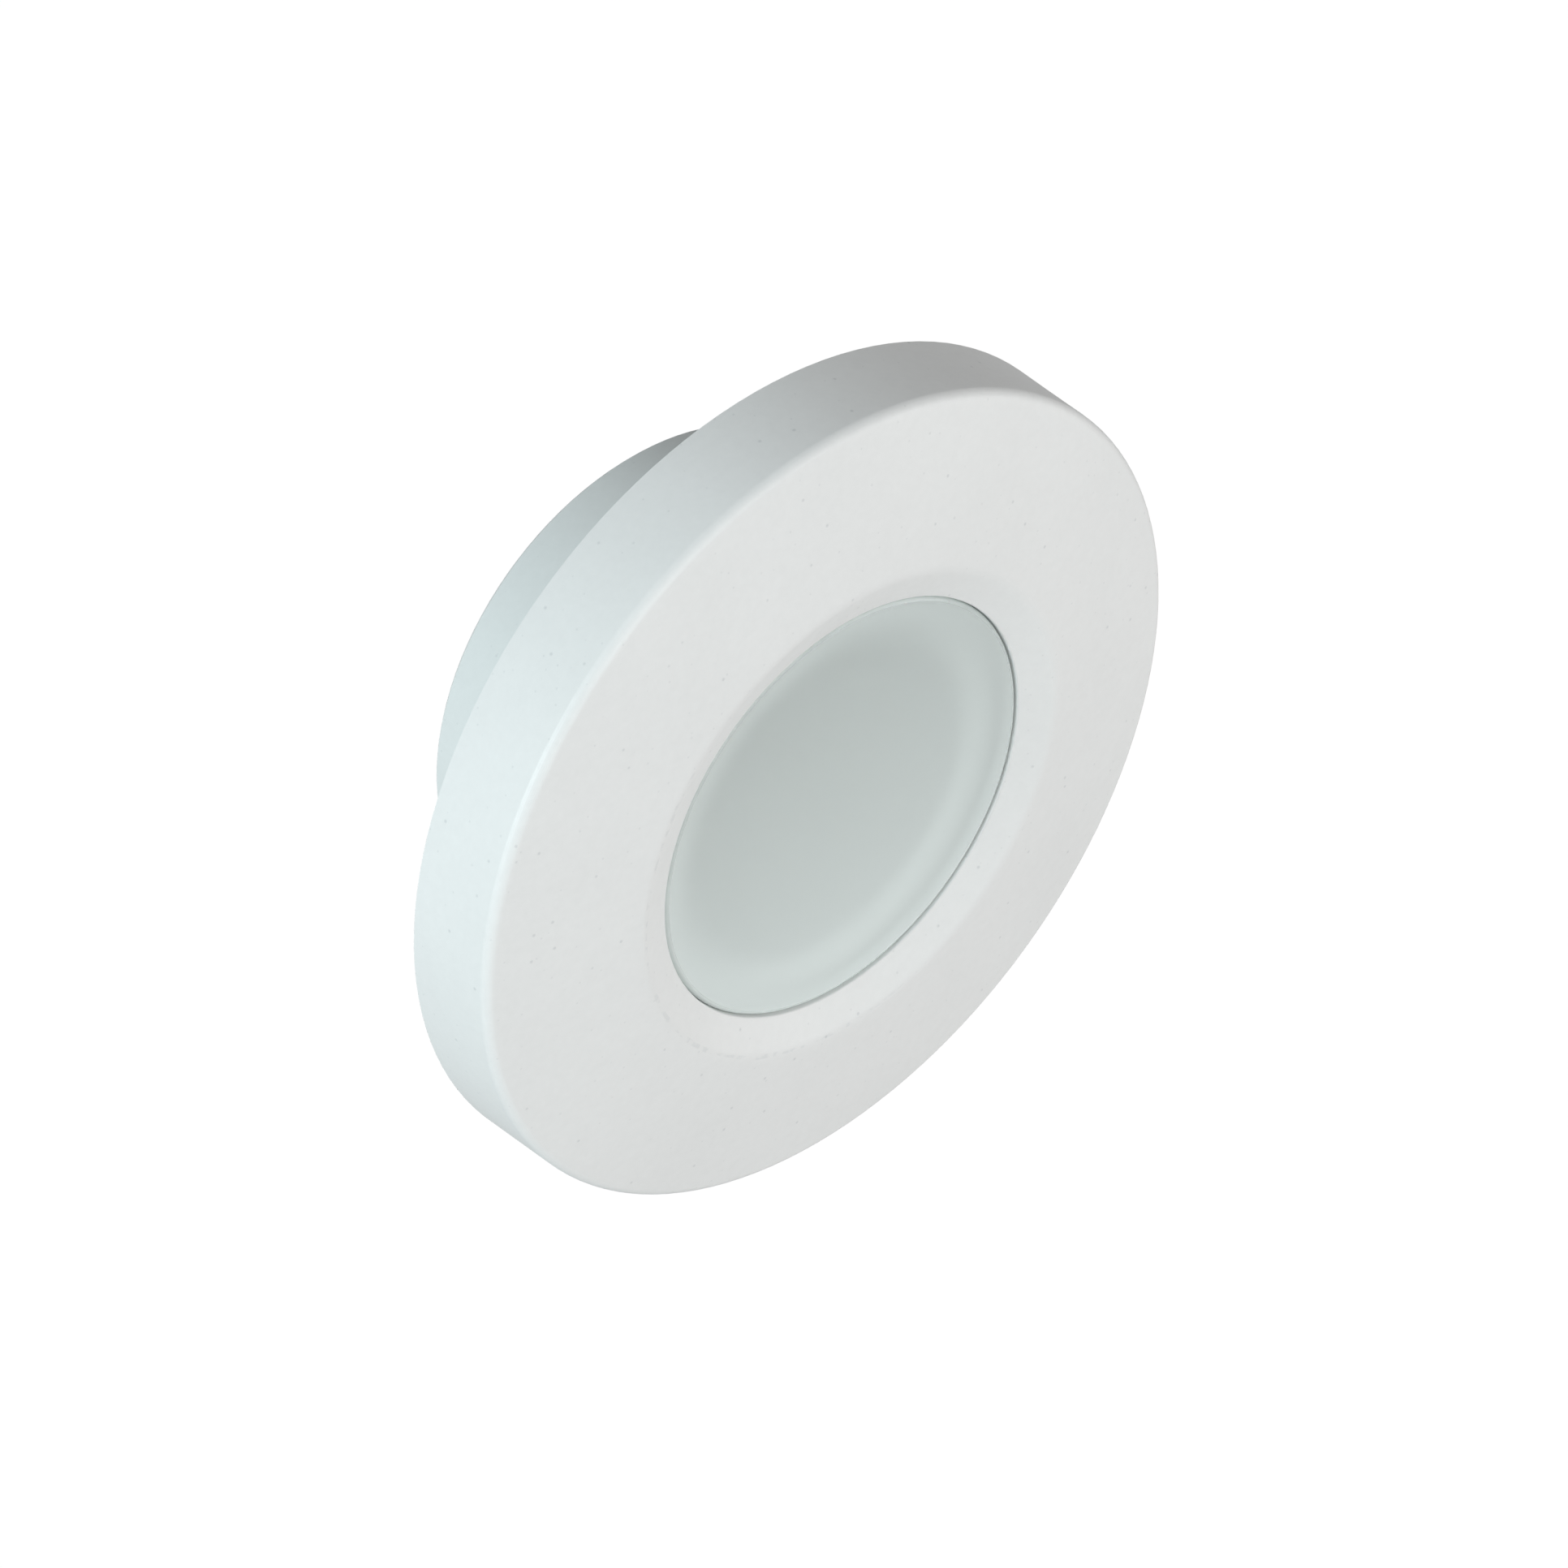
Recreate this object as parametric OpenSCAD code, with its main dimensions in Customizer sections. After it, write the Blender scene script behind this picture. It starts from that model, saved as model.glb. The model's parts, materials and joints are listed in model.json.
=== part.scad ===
// Flush-mounted underwater pool light: a push-on bezel, a sealed frosted glass lens,
// a plug-in housing with its LED engine and driver, and a rear cable gland.
// Millimetres. The wall is the plane Y = 0, the lens faces -Y and +Z is up.
// Each piece is drawn on a local axis whose +z leaves the wall, and then turned to face -Y.

/* [Bezel] */
// Diameter of the bezel at its front edge
bezel_d = 78; // [77:0.5:82]
// How much wider the bezel is at its back edge, from the moulding draft
bezel_draft = 0.8; // [0:0.1:1.6]
// Height of the bezel's side wall
bezel_side_h = 7.8; // [7.6:0.1:8.2]
// Radius of the rounded front edge
bezel_edge_r = 1; // [0.6:0.1:1.4]
// Radius of the sphere that domes the face
dome_r = 235; // [210:5:300]
// Diameter of the window in the bezel
window_d = 40.8; // [40.8:0.1:41.2]
// Height of the window's edge above the wall
window_edge_z = 9.5; // [9.4:0.1:9.8]
// Slope of the countersink round the window, in degrees
countersink_angle = 24; // [18:1:30]

/* [Housing] */
// Diameter of the body that plugs into the wall fitting
body_d = 48; // [47.6:0.1:48.4]
// How far the body reaches behind the wall
body_depth = 16.6; // [16.6:0.2:24]
// Diameter of the flange under the bezel
flange_d = 72; // [71:0.5:72]
// Thickness of the flange
flange_t = 3.2; // [3:0.1:3.4]
// Thickness of the wall gasket
wall_gasket_t = 1; // [0.8:0.1:1.2]

/* [Wall screws] */
// Pitch circle of the four wall screw holes
wall_screw_pcd = 62; // [61.6:0.1:62.4]
// Diameter of the wall screw holes
wall_screw_hole_d = 4.2; // [3.6:0.1:4.4]

/* [Lens] */
// Diameter of the part of the lens that shows in the window
lens_face_d = 40.6; // [40:0.1:40.6]
// Diameter of the lens's flange
lens_flange_d = 44.6; // [44:0.1:44.8]
// How far the lens's face stands below the window's edge
lens_recess = 0.1; // [0:0.1:0.4]

/* [Light source] */
// Number of LEDs in the outer ring of the board
outer_leds = 12; // [4:8:12]
// Number of LEDs in the inner ring of the board
inner_leds = 6; // [3:1:6]
// Side of an LED package
led_size = 2.8; // [2:0.1:3]

/* [Cable gland] */
// Bore of the rubber bush, for a round 6 mm cord
cord_bore_d = 5.9; // [4:0.1:6]
// Diameter of the gland's thread
gland_thread_d = 12; // [12:0.1:12.4]
// Pitch of the gland's thread
gland_pitch = 1.5; // [1.25:0.25:1.5]
// Width of the gland nut across its flats
gland_nut_af = 15; // [14.6:0.1:16]

/* [Hidden] */

$fn = 96;
cut = 1;                        // how far a cutting tool runs past the face that it cuts
bond = 0.5;                     // how far two joined shapes run into each other
fit = 0.05;                     // radial room round a seated or screwed piece
play = 0.3;                     // gap between pieces that move apart

// Heights of the housing, from its flange back to its rear face
flange_back_z = wall_gasket_t;
flange_front_z = flange_back_z + flange_t;
collar_z = flange_front_z + 2;
bulkhead_front_z = -5.6;
bulkhead_t = 2;
bulkhead_rear_z = bulkhead_front_z - bulkhead_t;
body_rear_z = -body_depth;
cover_t = 1.5;
cover_front_z = body_rear_z + cover_t;
cover_seal_t = 0.4;
cover_ledge_z = cover_front_z + cover_seal_t;

// Radii of the housing
flange_r = flange_d / 2;
body_r = body_d / 2;
front_cavity_r = 20.7;
rear_cavity_r = 17;
cover_r = 22.5;
body_chamfer = 0.6;
wall_gasket_inset = 0.6;        // from the body and from the flange's rim

// Bezel
bezel_rim_z = 0.2;
bezel_edge_z = bezel_rim_z + bezel_side_h;
bezel_bore_r = 36.4;
bezel_lip_z = 8.1;
crest_r = 2;                    // rounding where the countersink meets the domed face
window_round = 0.2;             // rounding of the window's edge
dome_centre_z = bezel_edge_z - sqrt(pow(dome_r - bezel_edge_r, 2) - pow(bezel_d / 2 - bezel_edge_r, 2));

// Pegs under the bezel that keep it from turning, and their holes in the flange
peg_r = 1.2;
peg_circle_r = 31;
peg_tip_z = flange_front_z - 1.6;
peg_hole_floor_z = flange_front_z - 2.2;
rib_t = 1.2;
rib_count = 8;
rib_inner_r = 28.2;
pry_notch = [8, 1.8, 1.4];      // width, depth and height

// O-rings
bezel_cord_r = 0.88;
bezel_groove_r = 34.6;
bezel_cord_centre_r = 35.49;    // leaves 0.03 to the bezel's bore
bezel_groove_z = flange_back_z + flange_t / 2;
bezel_groove_w = 2;
body_cord_r = 1;
body_groove_r = 22.5;
body_groove_w = 2.3;
body_groove_zs = [-2.9, -6.5];

// Lens, its seat and its retaining ring
lens_flange_t = 2.2;
lens_back_z = collar_z - lens_flange_t;
lens_gasket_t = 0.7;
lens_seat_z = lens_back_z - lens_gasket_t;
lens_front_z = window_edge_z - lens_recess;
lens_pocket_r = lens_flange_d / 2 + 0.2;
lens_ring_t = 1.6;
lens_ring_z = collar_z + lens_ring_t;
lens_ring_inner_r = 20.7;
lens_ring_outer_r = 26.9;
lens_screw_circle_r = 24.75;
lens_screw_count = 6;
lens_screw_tip_z = flange_back_z + 0.8;

// LED engine
board_stack_z = -3;             // front face of the heat sink
pad_t = 0.4;
led_board_t = 1.4;
led_board_back_z = board_stack_z + pad_t;
led_board_front_z = led_board_back_z + led_board_t;
led_board_r = 15.4;
led_package_t = 0.7;
led_lens_r = 1.15;
inner_led_circle_r = 4.8;
outer_led_circle_r = 10.2;
led_screw_circle_r = 13.2;
led_screw_count = 4;
reflector_t = 0.8;
reflector_foot_r = 15.8;
reflector_rim_r = 20.4;

// Screws: every one is M2, with 3.8 mm heads
screw_r = 1;
screw_head_r = 1.9;
countersink_h = 1.1;
pan_head_h = 1.2;
tapped_r = screw_r + fit;
recess_w = 0.45;
recess_depth = 0.7;

// Driver board and what stands on it
spacer_h = 1.8;
spacer_af = 4;
driver_board_t = 1.2;
driver_front_z = bulkhead_rear_z - spacer_h;
driver_rear_z = driver_front_z - driver_board_t;
driver_board_r = 16.6;
board_screw_circle_r = 13.8;
board_screw_count = 3;
pin_r = 0.35;
pin_count = 4;
pin_pitch = 2;
pin_y = -12.9;
insulator = [8, 2.2];
terminal_at = [0, -8.6];
terminal_size = [8.8, 6, 4];
terminal_pitch = 4;
terminal_screw_r = 1.5;
terminal_screw_y = -0.8;
terminal_screw_low = 1.6;
terminal_screw_top = 3.6;
inductor_at = [-10, 1.5];
inductor_r = 3.2;
inductor_h = 3.6;
capacitor_at = [[10, 6.2], [10, -0.4]];
capacitor_r = 2.4;
rectifier_at = [-4.2, 7.4];
chip_at = [3.2, 7.4];
resistor_count = 6;
resistor_size = [0.8, 1.6, 0.5];

// Rear cover, its screws and the gland that stands on it
cover_screw_circle_r = 20.3;
cover_screw_count = 6;
cover_screw_l = 6;
cover_seal_inset = 1.4;         // from the cover screws in to the seal's edge
gland_thread_r = gland_thread_d / 2;
gland_root_r = gland_thread_r - 0.6;
gland_spigot_l = 6.4;
gland_spigot_z = body_rear_z - gland_spigot_l;
gland_throat_r = 3.2;
gland_seat_r = 4.4;
gland_seat_z = body_rear_z - 2;
seal_stand_out = 0.6;
gland_ring_t = 0.6;
gland_ring_z = gland_spigot_z - seal_stand_out - fit;
gland_nut_gap = 1.3;            // between the rear cover and the tightened nut
gland_nut_wall = 1.6;
gland_nut_front_z = body_rear_z - gland_nut_gap;
gland_nut_floor_z = gland_ring_z - gland_ring_t - fit;
gland_nut_rear_z = gland_nut_floor_z - gland_nut_wall;
gland_mouth_r = 3.4;

// ---- Helpers ----

module on_axis() {
    rotate([90, 0, 0]) children();
}

// Flat ring between two radii and two heights
module band(inner_r, outer_r, low_z, high_z) {
    rotate_extrude() translate([inner_r, low_z]) square([outer_r - inner_r, high_z - low_z]);
}

module disc(r, low_z, high_z) {
    translate([0, 0, low_z]) cylinder(h = high_z - low_z, r = r);
}

// Cutter for an O-ring groove in a round wall, centred on height z
module groove(floor_r, wall_r, z, width) {
    band(floor_r, wall_r + cut, z - width / 2, z + width / 2);
}

module cord_ring(centre_r, cord_r, z) {
    rotate_extrude() translate([centre_r, z]) circle(r = cord_r, $fn = 32);
}

// Copies of a child on a circle, the first at the angle start
module around(count, r, start = 0) {
    for (i = [0 : count - 1])
        rotate([0, 0, start + 360 * i / count]) translate([r, 0, 0]) children();
}

function arc(centre, r, from, to, steps) = [
    for (i = [0 : steps])
        let (a = from + (to - from) * i / steps)
        [centre[0] + r * cos(a), centre[1] + r * sin(a)]
];

// Cross recess for a screwdriver, cut down from z = 0
module cross_recess() {
    for (turn = [0, 90])
        rotate([0, 0, turn]) cube([2 * screw_r, recess_w, 2 * recess_depth], center = true);
}

// Screws have the top of their head at z = 0 and point down -z
module countersunk_screw(length) {
    difference() {
        rotate_extrude() polygon([
            [0, 0], [screw_head_r, 0], [screw_head_r, -0.2], [screw_r, -countersink_h],
            [screw_r, 0.3 - length], [screw_r - 0.3, -length], [0, -length]
        ]);
        cross_recess();
    }
}

module pan_screw(length) {
    difference() {
        rotate_extrude() polygon(concat(
            [[0, 0]],
            arc([screw_head_r - 0.6, -0.6], 0.6, 90, 0, 5),
            [[screw_head_r, -pan_head_h], [screw_r, -pan_head_h],
             [screw_r, 0.3 - length], [screw_r - 0.3, -length], [0, -length]]
        ));
        cross_recess();
    }
}

// Seat for a countersunk screw whose head is flush at z = 0
module countersunk_hole(depth) {
    rotate_extrude() polygon([
        [0, cut], [screw_head_r + fit, cut], [screw_head_r + fit, -0.2],
        [tapped_r, -countersink_h], [tapped_r, -depth], [0, -depth]
    ]);
}

module insulator_block(grow, low_z, high_z) {
    size = [insulator[0] + 2 * grow, insulator[1] + 2 * grow, high_z - low_z];
    translate([-size[0] / 2, pin_y - size[1] / 2, low_z]) cube(size);
}

module at_pins() {
    for (i = [0 : pin_count - 1])
        translate([(i - (pin_count - 1) / 2) * pin_pitch, pin_y, 0]) children();
}

module at_leds() {
    children();
    around(inner_leds, inner_led_circle_r) children();
    around(outer_leds, outer_led_circle_r) children();
}

// ---- Bezel ----

// Outline of the bezel's half section, from the back rim round the face to the window
function bezel_outline() =
    let (
        edge_centre = [bezel_d / 2 - bezel_edge_r, bezel_edge_z],
        face_from = atan2(bezel_edge_z - dome_centre_z, edge_centre[0]),
        slope = [cos(countersink_angle), sin(countersink_angle)],
        normal = [-slope[1], slope[0]],
        // the crest's centre lies crest_r inside both the cone and the dome
        base = [window_d / 2 - crest_r * normal[0], window_edge_z - crest_r * normal[1] - dome_centre_z],
        along = base * slope,
        run = sqrt(along * along - base * base + pow(dome_r - crest_r, 2)) - along,
        crest = [base[0] + run * slope[0], base[1] + run * slope[1] + dome_centre_z],
        face_to = atan2(crest[1] - dome_centre_z, crest[0])
    )
    concat(
        [[bezel_bore_r, bezel_rim_z], [(bezel_d + bezel_draft) / 2, bezel_rim_z]],
        arc(edge_centre, bezel_edge_r, 0, face_from, 8),
        arc([0, dome_centre_z], dome_r, face_from, face_to, 12),
        arc(crest, crest_r, face_to, 90 + countersink_angle, 5),
        arc(
            [window_d / 2 + window_round, window_edge_z - window_round / 2],
            window_round, 90 + countersink_angle, 180, 4
        ),
        [[window_d / 2, bezel_lip_z], [bezel_bore_r, bezel_lip_z]]
    );

module bezel() {
    color("white") on_axis() difference() {
        union() {
            rotate_extrude() polygon(bezel_outline());
            around(rib_count, 0, 180 / rib_count)
                translate([rib_inner_r, -rib_t / 2, flange_front_z + play])
                cube([bezel_bore_r - rib_inner_r + bond, rib_t, bezel_lip_z - flange_front_z - play + bond]);
            around(2, peg_circle_r, 90) disc(peg_r, peg_tip_z, bezel_lip_z + bond);
        }
        translate([0, -(bezel_d + bezel_draft) / 2, bezel_rim_z])
            cube([pry_notch[0], 2 * pry_notch[1], 2 * pry_notch[2]], center = true);
    }
}

module bezel_o_ring() {
    color("dimgray") on_axis()
        cord_ring(bezel_cord_centre_r, bezel_cord_r, bezel_groove_z);
}

// ---- Housing and its seals ----

module housing() {
    color("whitesmoke") on_axis() difference() {
        union() {
            disc(flange_r, flange_back_z, flange_front_z);
            disc(lens_ring_outer_r, flange_front_z, collar_z);
            rotate_extrude() polygon([
                [0, flange_back_z], [body_r, flange_back_z],
                [body_r, body_rear_z + body_chamfer], [body_r - body_chamfer, body_rear_z], [0, body_rear_z]
            ]);
        }
        disc(lens_pocket_r, lens_seat_z, collar_z + cut);
        disc(front_cavity_r, bulkhead_front_z, lens_seat_z + cut);
        disc(rear_cavity_r, body_rear_z - cut, bulkhead_rear_z);
        disc(cover_r + fit, body_rear_z - cut, cover_ledge_z);
        groove(bezel_groove_r, flange_r, bezel_groove_z, bezel_groove_w);
        for (z = body_groove_zs)
            groove(body_groove_r, body_r, z, body_groove_w);
        around(4, wall_screw_pcd / 2, 45)
            disc(wall_screw_hole_d / 2, flange_back_z - cut, flange_front_z + cut);
        around(2, peg_circle_r, 90)
            disc(peg_r + play, peg_hole_floor_z, flange_front_z + cut);
        around(lens_screw_count, lens_screw_circle_r)
            disc(tapped_r, lens_screw_tip_z - 0.2, collar_z + cut);
        around(led_screw_count, led_screw_circle_r, 45)
            disc(tapped_r, bulkhead_rear_z - cut, bulkhead_front_z + cut);
        around(board_screw_count, board_screw_circle_r, 90)
            disc(tapped_r, bulkhead_rear_z - cut, bulkhead_front_z + cut);
        around(cover_screw_count, cover_screw_circle_r)
            disc(tapped_r, body_rear_z - cut, body_rear_z + cover_screw_l + 0.4);
        insulator_block(fit, bulkhead_rear_z - cut, bulkhead_front_z + cut);
    }
}

module wall_gasket() {
    color("darkslategray") on_axis() difference() {
        band(body_r + wall_gasket_inset, flange_r - wall_gasket_inset, 0, wall_gasket_t);
        around(4, wall_screw_pcd / 2, 45)
            disc(wall_screw_hole_d / 2, -cut, wall_gasket_t + cut);
    }
}

module body_o_rings() {
    color("dimgray") on_axis()
        for (z = body_groove_zs)
            cord_ring(body_groove_r + body_cord_r, body_cord_r, z);
}

// ---- Lens ----

module lens() {
    rim = 0.5;
    face_r = lens_face_d / 2;
    flange_r = lens_flange_d / 2;
    color("honeydew", 0.7) on_axis()
        rotate_extrude() polygon(concat(
            [[0, lens_back_z], [flange_r - 0.3, lens_back_z], [flange_r, lens_back_z + 0.3]],
            [[flange_r, collar_z], [face_r, collar_z]],
            arc([face_r - rim, lens_front_z - rim], rim, 0, 90, 6),
            [[0, lens_front_z]]
        ));
}

module lens_gasket() {
    color("dimgray") on_axis()
        band(front_cavity_r + 0.1, lens_pocket_r - 0.1, lens_seat_z, lens_back_z);
}

module lens_ring() {
    color("silver") on_axis() difference() {
        band(lens_ring_inner_r, lens_ring_outer_r, collar_z, lens_ring_z);
        around(lens_screw_count, lens_screw_circle_r)
            translate([0, 0, lens_ring_z]) countersunk_hole(lens_ring_t + cut);
    }
}

module lens_ring_screws() {
    color("gainsboro") on_axis()
        around(lens_screw_count, lens_screw_circle_r)
        translate([0, 0, lens_ring_z]) countersunk_screw(lens_ring_z - lens_screw_tip_z);
}

// ---- LED engine ----

module reflector() {
    rim_z = lens_back_z - 0.1;
    color("snow") on_axis() rotate_extrude() polygon([
        [reflector_foot_r, board_stack_z], [reflector_foot_r + reflector_t, board_stack_z],
        [reflector_foot_r + reflector_t, led_board_front_z], [reflector_rim_r, rim_z - reflector_t],
        [reflector_rim_r, rim_z], [reflector_rim_r - reflector_t, rim_z],
        [reflector_foot_r, led_board_front_z]
    ]);
}

module led_board() {
    color("mintcream") on_axis() difference() {
        disc(led_board_r, led_board_back_z, led_board_front_z);
        around(led_screw_count, led_screw_circle_r, 45)
            disc(tapped_r, led_board_back_z - cut, led_board_front_z + cut);
        at_pins() disc(pin_r + fit, led_board_back_z - cut, led_board_front_z + cut);
    }
}

module led_packages() {
    color("ivory") on_axis()
        at_leds() translate([-led_size / 2, -led_size / 2, led_board_front_z])
        cube([led_size, led_size, led_package_t]);
}

module led_lenses() {
    base_z = led_board_front_z + led_package_t;
    color("khaki") on_axis()
        at_leds() intersection() {
            translate([0, 0, base_z]) sphere(r = led_lens_r, $fn = 24);
            disc(led_size, base_z, base_z + led_lens_r + cut);
        }
}

module led_board_screws() {
    color("gainsboro") on_axis()
        around(led_screw_count, led_screw_circle_r, 45)
        translate([0, 0, led_board_front_z + pan_head_h])
        pan_screw(pan_head_h + led_board_front_z - bulkhead_rear_z - 0.4);
}

module thermal_pad() {
    color("lightpink") on_axis() difference() {
        disc(led_board_r - 0.2, board_stack_z, led_board_back_z);
        around(led_screw_count, led_screw_circle_r, 45)
            disc(tapped_r, board_stack_z - cut, led_board_back_z + cut);
        insulator_block(fit, board_stack_z - cut, led_board_back_z + cut);
    }
}

module heat_sink() {
    color("lightsteelblue") on_axis() difference() {
        disc(front_cavity_r - 0.3, bulkhead_front_z, board_stack_z);
        around(led_screw_count, led_screw_circle_r, 45)
            disc(tapped_r, bulkhead_front_z - cut, board_stack_z + cut);
        insulator_block(fit, bulkhead_front_z - cut, board_stack_z + cut);
    }
}

// ---- Driver ----

module driver_board() {
    color("seagreen") on_axis() difference() {
        disc(driver_board_r, driver_rear_z, driver_front_z);
        around(board_screw_count, board_screw_circle_r, 90)
            disc(tapped_r, driver_rear_z - cut, driver_front_z + cut);
        at_pins() disc(pin_r + fit, driver_rear_z - cut, driver_front_z + cut);
    }
}

module board_spacers() {
    color("goldenrod") on_axis()
        around(board_screw_count, board_screw_circle_r, 90) difference() {
            translate([0, 0, driver_front_z]) cylinder(h = spacer_h, d = spacer_af / cos(30), $fn = 6);
            disc(tapped_r, driver_front_z - cut, bulkhead_rear_z + cut);
        }
}

module board_screws() {
    color("gainsboro") on_axis()
        around(board_screw_count, board_screw_circle_r, 90)
        translate([0, 0, driver_rear_z - pan_head_h]) mirror([0, 0, 1])
        pan_screw(pan_head_h + driver_board_t + spacer_h + bulkhead_t - 0.4);
}

module board_pins() {
    color("gold") on_axis()
        at_pins() disc(pin_r, driver_rear_z - 0.8, led_board_front_z + 0.6);
}

module pin_insulator() {
    color("black") on_axis() difference() {
        insulator_block(0, bulkhead_rear_z, led_board_back_z - 0.1);
        at_pins() disc(pin_r + fit, bulkhead_rear_z - cut, led_board_back_z + cut);
    }
}

module on_driver_board(at) {
    translate([at[0], at[1], driver_rear_z]) mirror([0, 0, 1]) children();
}

module inductor() {
    cheek = 0.6;
    color("dimgray") on_axis() on_driver_board(inductor_at)
        rotate_extrude() polygon([
            [0, 0], [inductor_r, 0], [inductor_r, cheek], [inductor_r / 2, cheek],
            [inductor_r / 2, inductor_h - cheek], [inductor_r, inductor_h - cheek],
            [inductor_r, inductor_h], [0, inductor_h]
        ]);
}

module inductor_coil() {
    color("peru") on_axis() on_driver_board(inductor_at)
        band(inductor_r / 2, inductor_r - 0.4, 0.6, inductor_h - 0.6);
}

module capacitors() {
    base = 2 * capacitor_r + 0.4;
    color("lightgray") on_axis()
        for (at = capacitor_at)
            on_driver_board(at) union() {
                translate([-base / 2, -base / 2, 0]) cube([base, base, 0.6]);
                disc(capacitor_r, 0, 3.8);
            }
}

// Moulded chip body with a row of flat leads along each side
module leaded_chip(size, leads, lead_pitch) {
    lead = [0.4, size[1] + 2, 0.2];
    translate([-size[0] / 2, -size[1] / 2, 0.2]) cube(size);
    for (i = [0 : leads - 1])
        translate([(i - (leads - 1) / 2) * lead_pitch - lead[0] / 2, -lead[1] / 2, 0]) cube(lead);
}

module rectifier() {
    color("black") on_axis() on_driver_board(rectifier_at) leaded_chip([4.6, 3.8, 1.4], 2, 2.5);
}

module controller_chip() {
    color("black") on_axis() on_driver_board(chip_at) leaded_chip([4.9, 3.9, 1.4], 4, 1.27);
}

module resistors() {
    color("darkgray") on_axis()
        for (i = [0 : resistor_count - 1])
            on_driver_board([(i - (resistor_count - 1) / 2) * 1.8, 2.4])
                translate([-resistor_size[0] / 2, -resistor_size[1] / 2, 0]) cube(resistor_size);
}

module at_terminals() {
    for (side = [-1, 1])
        translate([side * terminal_pitch / 2, 0, 0]) children();
}

module terminal_block() {
    wire_mouth = [2.6, 3, 1.8];
    wire_floor = 0.7;
    color("mediumseagreen") on_axis() on_driver_board(terminal_at) difference() {
        translate([-terminal_size[0] / 2, -terminal_size[1] / 2, 0]) cube(terminal_size);
        at_terminals() {
            translate([-wire_mouth[0] / 2, terminal_size[1] / 2 - wire_mouth[1] + cut, wire_floor])
                cube(wire_mouth);
            translate([0, terminal_screw_y, 0])
                disc(terminal_screw_r + fit, terminal_screw_low, terminal_size[2] + cut);
        }
    }
}

module terminal_screws() {
    color("silver") on_axis() on_driver_board(terminal_at)
        at_terminals() translate([0, terminal_screw_y, 0]) difference() {
            disc(terminal_screw_r, terminal_screw_low, terminal_screw_top);
            translate([0, 0, terminal_screw_top])
                cube([3 * terminal_screw_r, recess_w, 2 * recess_depth], center = true);
        }
}

// ---- Rear cover and gland ----

// The thread's crests stand on the spigot as rings one pitch apart
module gland_crests() {
    crest = gland_pitch * 0.35;
    first_z = body_rear_z - gland_pitch / 2;
    turns = floor((gland_spigot_l - gland_pitch) / gland_pitch);
    rotate_extrude()
        for (i = [0 : turns])
            translate([0, first_z - i * gland_pitch]) polygon([
                [gland_root_r - 0.2, crest], [gland_thread_r, crest / 3],
                [gland_thread_r, -crest / 3], [gland_root_r - 0.2, -crest]
            ]);
}

module rear_cover() {
    color("whitesmoke") on_axis() difference() {
        union() {
            disc(cover_r, body_rear_z, cover_front_z);
            disc(gland_root_r, gland_spigot_z, body_rear_z + bond);
            gland_crests();
        }
        disc(gland_throat_r, gland_spigot_z - cut, cover_front_z + cut);
        disc(gland_seat_r, gland_spigot_z - cut, gland_seat_z);
        around(cover_screw_count, cover_screw_circle_r)
            translate([0, 0, body_rear_z]) mirror([0, 0, 1]) countersunk_hole(cover_t + cut);
    }
}

module rear_cover_seal() {
    color("dimgray") on_axis()
        band(rear_cavity_r + play, cover_screw_circle_r - cover_seal_inset, cover_front_z, cover_ledge_z);
}

module rear_cover_screws() {
    color("gainsboro") on_axis()
        around(cover_screw_count, cover_screw_circle_r)
        translate([0, 0, body_rear_z]) mirror([0, 0, 1]) countersunk_screw(cover_screw_l);
}

module gland_seal() {
    color("dimgray") on_axis()
        band(cord_bore_d / 2, gland_seat_r - fit, gland_spigot_z - seal_stand_out, gland_seat_z);
}

module gland_ring() {
    color("white") on_axis()
        band(gland_mouth_r, gland_thread_r - 0.4, gland_ring_z - gland_ring_t, gland_ring_z);
}

module gland_nut() {
    shoulder = 1.6;
    corner_r = gland_nut_af / 2 / cos(30);
    flat_r = gland_nut_af / 2;
    color("white") on_axis() difference() {
        intersection() {
            translate([0, 0, gland_nut_rear_z])
                cylinder(h = gland_nut_front_z - gland_nut_rear_z, r = corner_r, $fn = 6);
            rotate_extrude() polygon(concat(
                [[0, gland_nut_front_z], [flat_r, gland_nut_front_z], [corner_r, gland_nut_front_z - 0.6]],
                arc([corner_r - 2.4, gland_nut_rear_z + 2.4], 2.4, 0, -90, 8),
                [[0, gland_nut_rear_z]]
            ));
        }
        disc(gland_thread_r + fit, gland_nut_floor_z, gland_nut_front_z + cut);
        disc(gland_mouth_r, gland_nut_rear_z - cut, gland_nut_floor_z + cut);
    }
}

bezel();
bezel_o_ring();
housing();
wall_gasket();
body_o_rings();
lens();
lens_gasket();
lens_ring();
lens_ring_screws();
reflector();
led_board();
led_packages();
led_lenses();
led_board_screws();
thermal_pad();
heat_sink();
driver_board();
board_spacers();
board_screws();
board_pins();
pin_insulator();
inductor();
inductor_coil();
capacitors();
rectifier();
controller_chip();
resistors();
terminal_block();
terminal_screws();
rear_cover();
rear_cover_seal();
rear_cover_screws();
gland_seal();
gland_ring();
gland_nut();
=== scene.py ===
import json
import math

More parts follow.
